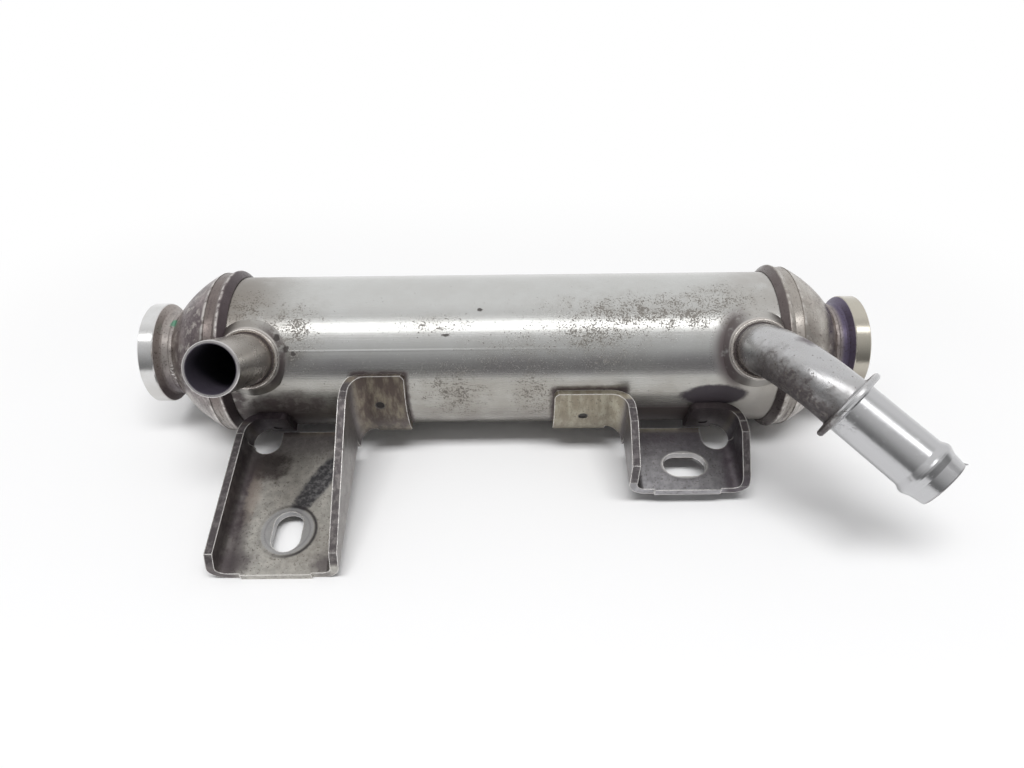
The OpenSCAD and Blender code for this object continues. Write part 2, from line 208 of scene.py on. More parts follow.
# where a point lies on the cooler, in millimetres with the bracket plates level: Place is (along
# the shell, ahead of its axis, above it), Sheet is (along, arc on the shell, radius), Angle is the
# angle above the level through the axis, in degrees, the same in front and behind
place, _, out = effect(
    "place_on_cooler", {}, {"Place": "v", "Sheet": "v", "Radius": "f", "Angle": "f", "Along": "f"}
)
point = wire(place, "TexCoord").outputs["Object"]
point = vectors(place, "MULTIPLY", point, (1000, 1000, 1000))
turn = {"Vector": point, "Angle": -rest_tilt}
axes = wire(place, "VectorRotate", turn, rotation_type="X_AXIS").outputs[0]
axes = wire(place, "SeparateXYZ", {0: axes}).outputs
ahead = sums(place, "MULTIPLY", axes[1], -1.0)
flat = wire(place, "CombineXYZ", {0: 0.0, 1: ahead, 2: axes[2]}).outputs[0]
radius = vectors(place, "LENGTH", flat, output=1)
around = sums(place, "ARCTAN2", axes[2], ahead)
arc = sums(place, "MULTIPLY", around, shell_r)
spot = wire(place, "CombineXYZ", {0: axes[0], 1: ahead, 2: axes[2]}).outputs[0]
sheet = wire(place, "CombineXYZ", {0: axes[0], 1: arc, 2: radius}).outputs[0]
above = sums(place, "ARCSINE", sums(place, "DIVIDE", axes[2], radius))
degrees = sums(place, "MULTIPLY", above, 180 / math.pi)
for socket, feed in zip(out, (spot, sheet, radius, degrees, axes[0])):
    place.links.new(feed, socket)

# blotches of one size that cover a share of the surface
blotches, take, out = effect(
    "blotches", {"Where": (0, 0, 0), "Size": 5.0, "Cover": 0.5, "Edge": 0.1}, {"Mask": "f"}
)
grain = sums(blotches, "DIVIDE", 1.0, take["Size"])
feeds = {"Vector": take["Where"], "Scale": grain, "Detail": 5.0, "Roughness": 0.62}
noise = wire(blotches, "TexNoise", feeds).outputs[0]
limit = sums(blotches, "MULTIPLY_ADD", take["Cover"], -0.5, 0.75)
low = sums(blotches, "SUBTRACT", limit, take["Edge"])
high = sums(blotches, "ADD", limit, take["Edge"])
blotches.links.new(rise(blotches, noise, low, high), out["Mask"])

# fine specks, as dense as Density says
speckle, take, out = effect(
    "specks", {"Where": (0, 0, 0), "Size": 0.7, "Density": 0.5}, {"Mask": "f"}
)
grain = sums(speckle, "DIVIDE", 1.0, take["Size"])
feeds = {"Vector": take["Where"], "Scale": grain, "Detail": 1.0, "Roughness": 0.6}
noise = wire(speckle, "TexNoise", feeds).outputs[0]
limit = sums(speckle, "MULTIPLY_ADD", take["Density"], -0.3, 0.8)
high = sums(speckle, "ADD", limit, 0.1)
speckle.links.new(rise(speckle, noise, limit, high), out["Mask"])

# an oval patch with a soft, ragged edge, turned about the third axis
ragged, take, out = effect(
    "ragged_patch",
    {
        "Where": (0, 0, 0),
        "Centre": (0, 0, 0),
        "Reach": (5, 5, 5),
        "Turn": 0.0,
        "Edge": 0.4,
        "Fray": 0.4,
        "Grain": 3.0,
    },
    {"Mask": "f"},
)
shifted = vectors(ragged, "SUBTRACT", take["Where"], take["Centre"])
turn = {"Vector": shifted, "Angle": sums(ragged, "RADIANS", take["Turn"])}
turned = wire(ragged, "VectorRotate", turn, rotation_type="Z_AXIS").outputs[0]
away = vectors(ragged, "LENGTH", vectors(ragged, "DIVIDE", turned, take["Reach"]), output=1)
grain = sums(ragged, "DIVIDE", 1.0, take["Grain"])
feeds = {"Vector": take["Where"], "Scale": grain, "Detail": 4.0, "Roughness": 0.65}
noise = sums(ragged, "SUBTRACT", wire(ragged, "TexNoise", feeds).outputs[0], 0.5)
frayed = sums(ragged, "MULTIPLY_ADD", noise, sums(ragged, "MULTIPLY", take["Fray"], 4.0), away)
inner = sums(ragged, "SUBTRACT", 1.0, take["Edge"])
outer = sums(ragged, "ADD", 1.0, take["Edge"])
ragged.links.new(rise(ragged, frayed, outer, inner), out["Mask"])

# the strip just outside a rectangle on a sheet, for painted shade round a tab
border, take, out = effect(
    "strip_round_a_tab",
    {"Where": (0, 0, 0), "Centre": (0, 0, 0), "Half": (5, 5, 100), "Width": 2.0, "Fray": 1.0},
    {"Mask": "f"},
)
shifted = vectors(border, "ABSOLUTE", vectors(border, "SUBTRACT", take["Where"], take["Centre"]))
beyond = vectors(border, "MAXIMUM", vectors(border, "SUBTRACT", shifted, take["Half"]))
away = vectors(border, "LENGTH", beyond, output=1)
feeds = {"Vector": take["Where"], "Scale": 0.4, "Detail": 5.0, "Roughness": 0.65}
noise = sums(border, "SUBTRACT", wire(border, "TexNoise", feeds).outputs[0], 0.5)
frayed = sums(border, "MULTIPLY_ADD", noise, sums(border, "MULTIPLY", take["Fray"], 6.0), away)
border.links.new(rise(border, frayed, take["Width"], 0.0), out["Mask"])

# fine drawn lines: noise stretched by Stretch, in millimetres
drawn_lines, take, out = effect(
    "drawn_lines", {"Where": (0, 0, 0), "Stretch": (40, 0.3, 40)}, {"Value": "f"}
)
scaled = vectors(drawn_lines, "DIVIDE", take["Where"], take["Stretch"])
noise = wire(drawn_lines, "TexNoise", {"Vector": scaled, "Scale": 1.0, "Detail": 3.0}).outputs[0]
drawn_lines.links.new(noise, out["Value"])

# distance from a line through Start along Way, in millimetres, and distance along it
off_line, take, out = effect(
    "off_a_line", {"Start": (0, 0, 0), "Way": (0, 0, 1)}, {"Off": "f", "Along": "f"}
)
from_start = vectors(
    off_line, "SUBTRACT", wire(off_line, "TexCoord").outputs["Object"], take["Start"]
)
from_start = vectors(off_line, "MULTIPLY", from_start, (1000, 1000, 1000))
square_off = vectors(off_line, "CROSS_PRODUCT", from_start, take["Way"])
off_line.links.new(vectors(off_line, "LENGTH", square_off, output=1), out["Off"])
off_line.links.new(vectors(off_line, "DOT_PRODUCT", from_start, take["Way"], 1), out["Along"])


def blot(tree, where, size, cover, edge=0.15):
    """Blotch mask."""
    feeds = {"Where": where, "Size": size, "Cover": cover, "Edge": edge}
    return placed(tree, blotches, feeds)["Mask"]


def specks_of(tree, where, size, density):
    """Speck mask."""
    return placed(tree, speckle, {"Where": where, "Size": size, "Density": density})["Mask"]


def patch(tree, where, centre, reach, edge=0.5, fray=0.4, grain=3.0, turn=0.0):
    """Ragged oval patch mask."""
    feeds = {"Where": where, "Centre": centre, "Reach": reach, "Turn": turn}
    feeds |= {"Edge": edge, "Fray": fray, "Grain": grain}
    return placed(tree, ragged, feeds)["Mask"]


def round_tab(tree, where, centre, half, width, fray):
    """Mask of the strip round a rectangle."""
    feeds = {"Where": where, "Centre": centre, "Half": half, "Width": width, "Fray": fray}
    return placed(tree, border, feeds)["Mask"]


def times(tree, *masks):
    """The product of masks and numbers."""
    product = masks[0]
    for mask in masks[1:]:
        product = sums(tree, "MULTIPLY", product, mask)
    return product


def most(tree, *masks):
    """The strongest of several masks at each point."""
    strongest = masks[0]
    for mask in masks[1:]:
        strongest = sums(tree, "MAXIMUM", strongest, mask)
    return strongest


def between(tree, value, low, high, soft):
    """Mask of low < value < high with soft ends."""
    return times(
        tree, rise(tree, value, low - soft, low + soft), rise(tree, value, high + soft, high - soft)
    )


def stained(tree, colour, *layers):
    """Colour (r, g, b) with layers (mask, share, colour) laid on it in order."""
    colour = colour + (1,)
    for mask, share, over in layers:
        feeds = {0: times(tree, mask, share), 6: colour, 7: over + (1,)}
        colour = wire(tree, "Mix", feeds, data_type="RGBA").outputs[2]
    return colour


def finish_of(name):
    """A new material with a shader and its output: the material, its tree and the shader."""
    made = bpy.data.materials.new(name)
    made.use_nodes = True
    made.node_tree.nodes.clear()
    shader = wire(made.node_tree, "BsdfPrincipled")
    wire(made.node_tree, "OutputMaterial", {"Surface": shader.outputs[0]})
    return made, made.node_tree, shader


def surface(tree, shader, colour, dull, gloss, height, bare=1.0, covered=0.3):
    """Feeds a shader: colour, dull as a mask from bare to covered metal, gloss and bump height in
    millimetres."""
    tree.links.new(colour, shader.inputs["Base Color"])
    tree.links.new(rise(tree, dull, 0.0, 1.0, bare, covered), shader.inputs["Metallic"])
    tree.links.new(gloss, shader.inputs["Roughness"])
    bump = wire(tree, "Bump", {"Strength": 0.7, "Distance": 0.001, "Height": height})
    tree.links.new(bump.outputs[0], shader.inputs["Normal"])


def dress(node, material):
    """Gives a CAD node its finish."""
    parts[node].data.materials.clear()
    parts[node].data.materials.append(material)


def as_object(name, points, faces, material):
    """A new piece from points in millimetres (bracket plates level) that rides with the cooler."""
    c, s = math.cos(rest_tilt), math.sin(rest_tilt)
    x, f, z = np.asarray(points, float).reshape(-1, 3).T / 1000
    rows = np.stack([x, -f * c - z * s, -f * s + z * c], 1)
    mesh = bpy.data.meshes.new(name)
    mesh.from_pydata(rows.tolist(), [], faces)
    mesh.polygons.foreach_set("use_smooth", np.ones(len(faces), bool))
    mesh.materials.append(material)
    made = bpy.data.objects.new(name, mesh)
    scene.collection.objects.link(made)
    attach(made, "root")
    return made


def loop_faces(rows, columns, flip=False):
    """Quads of a grid that is closed both ways."""
    i, j = np.meshgrid(np.arange(rows), np.arange(columns), indexing="ij")
    k, l = (i + 1) % rows, (j + 1) % columns
    quads = np.stack([i * columns + j, i * columns + l, k * columns + l, k * columns + j], -1)
    quads = quads.reshape(-1, 4)
    return (quads[:, ::-1] if flip else quads).tolist()


def turned_ring(start, way, profile, steps=120, wobble=0.0, seed=1):
    """Points of a ring: a closed profile (off the axis, along it) turned about the line through
    start along way, its off-axis reach varied by a few slow waves of size wobble."""
    way = np.asarray(way, float) / np.linalg.norm(way)
    side = np.cross(way, (1.0, 0.2, 0.1))
    side /= np.linalg.norm(side)
    other = np.cross(way, side)
    turn = np.linspace(0, 2 * np.pi, steps, endpoint=False)
    rng = np.random.default_rng(seed)
    waves = sum(
        np.sin(turn * k + rng.uniform(0, 6.3)) * rng.uniform(0.4, 1) for k in (5, 9, 14, 23)
    )
    profile = np.asarray(profile, float)
    middle = profile[:, 0].mean()
    off = middle + (profile[None, :, 0] - middle) * (1 + wobble * waves[:, None])
    spokes = np.cos(turn)[:, None] * side + np.sin(turn)[:, None] * other
    return (
        np.asarray(start, float)
        + off[:, :, None] * spokes[:, None, :]
        + profile[None, :, 1, None] * way
    )


shell_finish, tree, shader = finish_of("satin_shell")
at = placed(tree, place)
where, sheet, angle, along = at["Place"], at["Sheet"], at["Angle"], at["Along"]
stub, hose = mounts["coolant_stub_bore"], mounts["coolant_elbow_bore"]
stub_x, elbow_x, elbow_angle = 40.0, 200.0, 44.0
tilted = math.radians(elbow_angle) - rest_tilt
elbow_way = (0.0, -math.cos(tilted), math.sin(tilted))
to_stub = placed(tree, off_line, {"Start": (stub_x / 1000, 0, 0), "Way": stub["axis"]})["Off"]
to_elbow = placed(tree, off_line, {"Start": (elbow_x / 1000, 0, 0), "Way": elbow_way})["Off"]
outside = rise(tree, at["Radius"], 24.6, 25.2)
in_front = rise(tree, wire(tree, "SeparateXYZ", {0: where}).outputs[1], -8.0, 2.0)
mottle = blot(tree, where, 9.0, 0.5, 0.25)
low_side = rise(tree, angle, 42.0, 16.0)
film = sums(tree, "MULTIPLY_ADD", blot(tree, where, 13.0, 0.5, 0.3), 0.5, 0.5)
film = times(tree, low_side, film)
purple = times(tree, between(tree, angle, 27.0, 41.0, 5.0), blot(tree, where, 20.0, 0.6, 0.3))
inlet_dust = times(tree, rise(tree, along, 60.0, 34.0), blot(tree, where, 7.0, 0.92, 0.25))
inlet_dust = times(tree, inlet_dust, rise(tree, angle, 14.0, 34.0, 0.15, 1.0))
outlet_dust = times(tree, rise(tree, along, 184.0, 204.0), blot(tree, where, 7.0, 0.8, 0.25))
clusters = most(
    tree,
    patch(tree, sheet, (168, 32.5, 25), (30, 6.5, 9), 0.8),
    times(tree, patch(tree, sheet, (189, 37, 25), (12, 6, 9), 0.8), 0.9),
    times(tree, patch(tree, sheet, (150, 25, 25), (16, 5.5, 9), 0.8), 0.9),
    times(tree, patch(tree, sheet, (152, 18, 25), (10, 4, 9), 0.8), 0.6),
    times(tree, patch(tree, sheet, (53, 27, 25), (9, 10, 9), 0.8), 0.85),
    times(tree, patch(tree, sheet, (38, 36, 25), (9, 6, 9), 0.8), 0.8),
    times(tree, patch(tree, sheet, (98, 28.4, 25), (13, 3, 9), 0.8), 0.7),
    times(tree, patch(tree, sheet, (104, 4, 25), (10, 10, 9), 0.8), 0.9),
    times(tree, patch(tree, sheet, (130, 3, 25), (8, 10, 9), 0.8), 0.8),
    times(tree, patch(tree, sheet, (126, 20, 25), (16, 7, 9), 0.9), 0.55),
)
uneven = sums(tree, "MULTIPLY_ADD", blot(tree, where, 3.6, 0.5, 0.2), 0.65, 0.35)
density = sums(tree, "ADD", times(tree, clusters, uneven, 1.1), 0.3)
specks = specks_of(tree, where, 0.5, density)
crumbs = times(tree, clusters, specks_of(tree, where, 1.1, times(tree, clusters, uneven, 0.95)))
specks = most(tree, specks, crumbs)
spots = times(
    tree,
    most(
        tree,
        patch(tree, sheet, (51.4, 21.3, 25), (0.9, 1.2, 9), 0.2, 0.5, 1.5),
        patch(tree, sheet, (53.6, 19.6, 25), (0.8, 0.7, 9), 0.2, 0.5, 1.5),
        patch(tree, sheet, (48.8, 24.6, 25), (0.7, 1.1, 9), 0.2, 0.5, 1.5),
        patch(tree, sheet, (112.5, 33.5, 25), (0.8, 0.6, 9), 0.3, 0.5, 1.5),
        patch(tree, sheet, (101.5, 25, 25), (1.3, 0.5, 9), 0.3, 0.5, 1.5),
    ),
    outside,
)
left_half = rise(tree, along, 42.0, 48.0)
left_crescent = times(
    tree, rise(tree, to_stub, 12.6, 10.2), left_half, blot(tree, sheet, 3.2, 0.72, 0.12)
)
right_half = rise(tree, along, 199.0, 192.0)
right_crescent = times(
    tree, rise(tree, to_elbow, 16.0, 11.4), right_half, blot(tree, sheet, 4.2, 0.85, 0.14)
)
soiled_low = times(
    tree,
    most(
        tree,
        patch(tree, sheet, (50, 0.5, 25), (14, 4.6, 9), 0.6, 0.6, 5.0),
        patch(tree, sheet, (33.5, 3.5, 25), (3, 5, 9), 0.6, 0.6, 4.0),
    ),
    blot(tree, sheet, 4.5, 0.68, 0.12),
)
# dark strips round the tabs, and low in front where the bracket plates meet the shell: painted
# shade in the gaps
tab_strips = most(
    tree,
    round_tab(tree, sheet, (80, -0.4, 25), (8.4, 13.4, 9), 1.7, 0.35),
    round_tab(tree, sheet, (147.4, -4.3, 25), (11.4, 10.8, 9), 1.9, 0.4),
)
outer_strips = most(
    tree,
    round_tab(tree, sheet, (42, -9.4, 25), (7.2, 7.0, 9), 5.4, 0.55),
    times(tree, rise(tree, along, 70.0, 50.0), rise(tree, angle, -2.0, -9.0), in_front),
    times(tree, between(tree, along, 156.0, 184.0, 4.0), rise(tree, angle, -1.0, -7.0), in_front),
)
foot_patch = patch(tree, sheet, (187.5, 3.4, 25), (10.5, 4.4, 9), 0.12, 0.1)
# a dark ring where each pipe meets its collar: painted shade in the crevice
crevice = times(
    tree,
    rise(tree, at["Radius"], 27.6, 28.2),
    most(tree, rise(tree, to_stub, 8.7, 8.2), rise(tree, to_elbow, 8.7, 8.2)),
)
# a pale ring on each collar's rim, brighter than the stained flare round it: a painted highlight
rim_highlight = times(
    tree,
    rise(tree, at["Radius"], 27.0, 27.8),
    most(tree, between(tree, to_stub, 8.9, 9.9, 0.2), between(tree, to_elbow, 8.9, 9.9, 0.2)),
)
# a pale line along the lengthwise seam, lighter than the metal: a painted highlight, with a slight
# real bump in the height
seam_and_highlight = rise(tree, sums(tree, "ABSOLUTE", sums(tree, "SUBTRACT", angle, 46.0)), 1.1, 0.2)
seam_and_highlight = times(tree, seam_and_highlight, rise(tree, along, 170.0, 80.0), outside, in_front)
shaded = times(tree, rise(tree, angle, 4.0, -14.0), blot(tree, where, 9.0, 0.75, 0.3))
# the dark crescents by the collars and the soiled patches, together with the painted shade of the
# gaps and crevices, in one dark colour
stain_and_shade = most(
    tree, left_crescent, right_crescent, tab_strips, outer_strips, crevice, soiled_low
)
colour = stained(
    tree,
    (0.61, 0.615, 0.605),
    (mottle, 0.3, (0.5, 0.49, 0.465)),
    (film, 0.95, (0.335, 0.315, 0.28)),
    (purple, 0.6, (0.36, 0.34, 0.36)),
    (seam_and_highlight, 0.6, (0.82, 0.82, 0.81)),
    (shaded, 0.55, (0.17, 0.15, 0.14)),
    (inlet_dust, 0.9, (0.27, 0.245, 0.22)),
    (outlet_dust, 0.55, (0.4, 0.37, 0.34)),
    (times(tree, clusters, uneven), 0.45, (0.3, 0.275, 0.24)),
    (stain_and_shade, 0.92, (0.075, 0.055, 0.056)),
    (foot_patch, 0.96, (0.042, 0.032, 0.042)),
    (specks, 0.78, (0.115, 0.1, 0.085)),
    (spots, 0.92, (0.045, 0.038, 0.036)),
    (rim_highlight, 0.85, (0.6, 0.57, 0.54)),
)
# duller where the metal is dirty and where shade is painted
dirt = most(tree, specks, foot_patch, spots, times(tree, stain_and_shade, 0.85), times(tree, film, 0.25))
drawn = placed(tree, drawn_lines, {"Where": sheet, "Stretch": (60, 0.25, 60)})["Value"]
gloss = sums(tree, "MULTIPLY_ADD", drawn, 0.14, 0.17)
gloss = sums(tree, "MULTIPLY_ADD", most(tree, inlet_dust, outlet_dust), 0.1, gloss)
gloss = sums(tree, "MULTIPLY_ADD", dirt, 0.22, gloss)
height = sums(tree, "MULTIPLY_ADD", seam_and_highlight, 0.05, times(tree, drawn, 0.018))
height = sums(tree, "MULTIPLY_ADD", specks, 0.05, height)
surface(tree, shader, colour, dirt, gloss, height)
dress("shell", shell_finish)


# The tube plates and gas tubes: stainless discs drilled for nineteen thin tubes, brazed into the
# ends of the shell. Exhaust has left them matt black with soot; only the ends show, down the bores.
soot_finish, tree, shader = finish_of("sooted_tube_plate")
where = placed(tree, place)["Place"]
crust = blot(tree, where, 2.2, 0.55, 0.2)
grit = blot(tree, where, 0.5, 0.5, 0.25)
colour = stained(tree, (0.085, 0.07, 0.06), (crust, 1.0, (0.022, 0.02, 0.02)))
gloss = sums(tree, "MULTIPLY_ADD", crust, 0.3, 0.55)
surface(tree, shader, colour, crust, gloss, times(tree, grit, 0.12), 0.55, 0.1)
for node in parts:
    if node.startswith("gas_tube") or node.endswith("header"):
        dress(node, soot_finish)


# The end cones: pressed stainless caps with a skirt and a raised lip, slid over the shell and
# brazed. Heat has turned them brown and purple; the lips and shoulders are rubbed bright in spots.
def cone_finish(name, base, heat, cover, skirt, face, low, low_share, wear, seed, marks=None):
    """Heat-stained pressed steel: base with heat colour over the share cover, a skirt colour, a
    dark lip face, a low colour underneath and bare metal in spots on lip and shoulder.
    marks(tree, at) gives more layers."""
    made, tree, shader = finish_of(name)
    at = placed(tree, place)
    where = vectors(tree, "ADD", at["Place"], (seed, seed, seed))
    side = sums(tree, "ABSOLUTE", sums(tree, "SUBTRACT", at["Along"], middle_x))
    out = sums(tree, "SUBTRACT", side, lip_from_middle)
    blotch = blot(tree, where, 6.0, cover, 0.16)
    streak = placed(tree, drawn_lines, {"Where": where, "Stretch": (0.9, 9, 9)})["Value"]
    streak = rise(tree, streak, 0.5, 0.66)
    specks = specks_of(tree, where, 0.6, sums(tree, "MULTIPLY_ADD", blotch, 0.3, 0.5))
    scuffs = times(tree, blot(tree, where, 3.0, 0.36, 0.08), rise(tree, out, 5.0, 6.5))
    on_skirt = between(tree, out, 0.6, 5.0, 0.3)
    on_face = rise(tree, out, 0.2, -0.5)
    on_neck = rise(tree, out, 14.0, 18.5)
    underneath = rise(tree, at["Angle"], 14.0, -10.0)
    crest = between(tree, out, -0.1, 0.7, 0.35)
    shoulder = between(tree, out, 4.5, 5.4, 0.5)
    rubbed = times(tree, most(tree, crest, shoulder), blot(tree, where, 2.4, wear, 0.1))
    colour = stained(
        tree,
        base,
        (blotch, 0.9, heat),
        (on_skirt, 0.7, skirt),
        (streak, 0.3, heat),
        (on_neck, 0.6, (0.3, 0.255, 0.23)),
        (underneath, low_share, low),
        (times(tree, underneath, streak), 0.7, (0.09, 0.07, 0.07)),
        (on_face, 0.92, face),
        (scuffs, 0.55, (0.58, 0.54, 0.5)),
        (specks, 0.65, (0.075, 0.058, 0.055)),
        (rubbed, 0.85, (0.7, 0.67, 0.64)),
        *(marks(tree, at) if marks else ()),
    )
    dull = most(tree, times(tree, blotch, 0.5), times(tree, on_face, 0.8), specks)
    gloss = sums(tree, "MULTIPLY_ADD", blotch, 0.1, 0.26)
    gloss = sums(tree, "MULTIPLY_ADD", specks, 0.2, gloss)
    height = sums(tree, "MULTIPLY_ADD", specks, 0.05, times(tree, blotch, 0.02))
    surface(tree, shader, colour, dull, gloss, height, 1.0, 0.4)
    return made


def neck_marks(tree, at):
    """A dab of green paint on top of the inlet neck and a pale scrape low on it."""
    where = at["Place"]
    dab = patch(tree, where, (10.3, 0.4, 14.2), (1.7, 1.5, 1.6), 0.25, 0.2, 1.5)
    scrape = patch(tree, where, (10.0, 13.9, 3.0), (1.0, 3.0, 4.6), 0.3, 0.2, 1.5)
    scrape = times(tree, scrape, specks_of(tree, where, 0.7, 0.95))
    return ((dab, 0.9, (0.12, 0.3, 0.2)), (scrape, 0.9, (0.8, 0.78, 0.75)))


dress(
    "inlet_cone",
    cone_finish(
        name="inlet_cone_heat_stain",
        base=(0.32, 0.275, 0.27),
        heat=(0.09, 0.068, 0.076),
        cover=0.62,
        skirt=(0.2, 0.17, 0.155),
        face=(0.06, 0.045, 0.05),
        low=(0.5, 0.47, 0.44),
        low_share=0.75,
        wear=0.55,
        seed=0.0,
        marks=neck_marks,
    ),
)
dress(
    "outlet_cone",
    cone_finish(
        name="outlet_cone_heat_stain",
        base=(0.46, 0.435, 0.4),
        heat=(0.27, 0.235, 0.21),
        cover=0.45,
        skirt=(0.4, 0.37, 0.34),
        face=(0.1, 0.08, 0.08),
        low=(0.42, 0.39, 0.36),
        low_share=0.6,
        wear=0.4,
        seed=37.0,
    ),
)


# The gas flanges: turned stainless rings pressed into the cones' necks and welded. The clamp band
# has kept the rims bright; the sloped backs and necks are stained.
def flange_finish(name, rim, rim_low, back, back_low, neck, neck_low, neck_from, seed, marks=None):
    """Bright turned rim near the face, with painted shade on the lower side of rim, back and neck;
    stained back and neck; fine turning lines. marks(tree, at) gives more layers."""
    made, tree, shader = finish_of(name)
    at = placed(tree, place)
    where = vectors(tree, "ADD", at["Place"], (seed, seed, seed))
    side = sums(tree, "ABSOLUTE", sums(tree, "SUBTRACT", at["Along"], middle_x))
    inward = sums(tree, "SUBTRACT", middle_x, side)
    blotch = blot(tree, where, 4.0, 0.5, 0.2)
    specks = specks_of(tree, where, 0.6, 0.72)
    rings = placed(tree, drawn_lines, {"Where": where, "Stretch": (0.12, 60, 60)})["Value"]
    # darker on the lower side: painted shade on rim, back and neck
    low = rise(tree, at["Angle"], 38.0, -12.0)
    on_back = rise(tree, inward, 4.85, 5.2)
    on_neck = rise(tree, inward, *neck_from)
    in_bore = rise(tree, at["Radius"], 11.7, 11.3)
    colour = stained(
        tree,
        rim,
        (low, 0.8, rim_low),
        (blotch, 0.12, (0.4, 0.36, 0.3)),
        (on_back, 1.0, back),
        (times(tree, on_back, low), 0.9, back_low),
        (on_neck, 1.0, neck),
        (times(tree, on_neck, low), 0.85, neck_low),
        (times(tree, on_neck, blotch), 0.35, neck_low),
        (times(tree, on_back, specks), 0.6, (0.07, 0.055, 0.055)),
        *(marks(tree, at) if marks else ()),
        (in_bore, 1.0, (0.035, 0.03, 0.028)),
    )
    dull = most(tree, times(tree, on_back, 0.4), in_bore)
    gloss = sums(tree, "MULTIPLY_ADD", blotch, 0.06, 0.16)
    gloss = sums(tree, "MULTIPLY_ADD", on_back, 0.2, gloss)
    gloss = sums(tree, "MULTIPLY_ADD", in_bore, 0.4, gloss)
    surface(tree, shader, colour, dull, gloss, times(tree, rings, 0.025), 1.0, 0.25)
    return made


inlet_turned = flange_finish(
    name="inlet_flange_turned",
    rim=(0.74, 0.74, 0.74),
    rim_low=(0.58, 0.57, 0.55),
    back=(0.36, 0.32, 0.3),
    back_low=(0.12, 0.095, 0.1),
    neck=(0.43, 0.395, 0.37),
    neck_low=(0.09, 0.07, 0.078),
    neck_from=(5.9, 7.2),
    seed=0.0,
    marks=neck_marks,
)
outlet_turned = flange_finish(
    name="outlet_flange_turned",
    rim=(0.55, 0.52, 0.45),
    rim_low=(0.2, 0.17, 0.145),
    back=(0.13, 0.11, 0.17),
    back_low=(0.1, 0.085, 0.13),
    neck=(0.36, 0.32, 0.3),
    neck_low=(0.13, 0.105, 0.12),
    neck_from=(7.2, 9.4),
    seed=53.0,
)
dress("inlet_flange", inlet_turned)
dress("outlet_flange", outlet_turned)

# The welds that join each flange to its cone: low, uneven beads laid round the neck, of the same
# stainless steel. Each is a flat oval turned about the shell's axis, with a slow waver.
neck_r, bead_height, bead_half_width, bead_steps = 14.0, 0.42, 0.75, 160
bead_turn = np.linspace(0, 2 * np.pi, 14, endpoint=False)
bead = np.stack(
    [neck_r + bead_height * np.sin(bead_turn), bead_half_width * np.cos(bead_turn)], 1
)
for name, seam_x, material, seed in (
    ("inlet_weld", 9.56, inlet_turned, 3),
    ("outlet_weld", 230.44, outlet_turned, 4),
):
    ring = turned_ring((seam_x, 0, 0), (1, 0, 0), bead, bead_steps, 0.25, seed)
    as_object(name, ring, loop_faces(bead_steps, len(bead), True), material)


# The straight coolant stub: a length of 16 mm stainless pipe brazed into the first collar. Brown
# heat colour towards the collar, a rubbed bright mouth, dark scale inside.
stub_finish, tree, shader = finish_of("stub_pipe")
at = placed(tree, place)
where = at["Place"]
blotch = blot(tree, where, 5.0, 0.5, 0.25)
specks = specks_of(tree, where, 0.7, 0.5)
near_collar = rise(tree, at["Radius"], 44.0, 30.0)
mouth = rise(tree, at["Radius"], 56.2, 56.8)
to_stub = placed(tree, off_line, {"Start": (stub_x / 1000, 0, 0), "Way": stub["axis"]})["Off"]
inside = rise(tree, to_stub, 7.4, 7.1)
under = rise(tree, at["Angle"], 41.0, 33.0)
colour = stained(
    tree,
    (0.5, 0.47, 0.44),
    (blotch, 0.4, (0.36, 0.32, 0.29)),
    (near_collar, 0.3, (0.36, 0.315, 0.29)),
    (times(tree, under, near_collar), 0.6, (0.2, 0.17, 0.17)),
    (specks, 0.45, (0.12, 0.095, 0.085)),
    (mouth, 0.9, (0.64, 0.62, 0.62)),
    (inside, 1.0, (0.06, 0.052, 0.07)),
    (times(tree, inside, blotch), 0.5, (0.035, 0.031, 0.042)),
)
gloss = sums(tree, "MULTIPLY_ADD", blotch, 0.1, 0.24)
gloss = sums(tree, "MULTIPLY_ADD", inside, 0.35, gloss)
surface(tree, shader, colour, inside, gloss, times(tree, specks, 0.03), 1.0, 0.0)
dress("coolant_stub", stub_finish)

# The collars' rolled rims, with the braze that has run round the pipes: thin rounded rings on the
# pulled collars, rubbed bright on top. Each is an oval turned about its pipe's first axis.
rim_finish, tree, shader = finish_of("collar_rim")
at = placed(tree, place)
blotch = blot(tree, at["Place"], 2.5, 0.45, 0.15)
colour = stained(tree, (0.6, 0.565, 0.53), (blotch, 0.55, (0.26, 0.215, 0.19)))
gloss = sums(tree, "MULTIPLY_ADD", blotch, 0.15, 0.22)
surface(tree, shader, colour, blotch, gloss, times(tree, blotch, 0.03), 1.0, 0.7)
rim_turn = np.linspace(0, 2 * np.pi, 16, endpoint=False)
rim_r, rim_half_width, rim_at, rim_half_height, rim_steps = 8.98, 0.62, 28.42, 0.5, 140
rim = np.stack(
    [rim_r + rim_half_width * np.cos(rim_turn), rim_at + rim_half_height * np.sin(rim_turn)], 1
)
stub_angle = 41.5
for name, x, degrees_up, seed in (
    ("stub_rim", stub_x, stub_angle, 5),
    ("elbow_rim", elbow_x, elbow_angle, 6),
):
    up = math.radians(degrees_up)
    ring = turned_ring((x, 0, 0), (0, math.cos(up), math.sin(up)), rim, rim_steps, 0.06, seed)
    as_object(name, ring, loop_faces(rim_steps, len(rim), True), rim_finish)


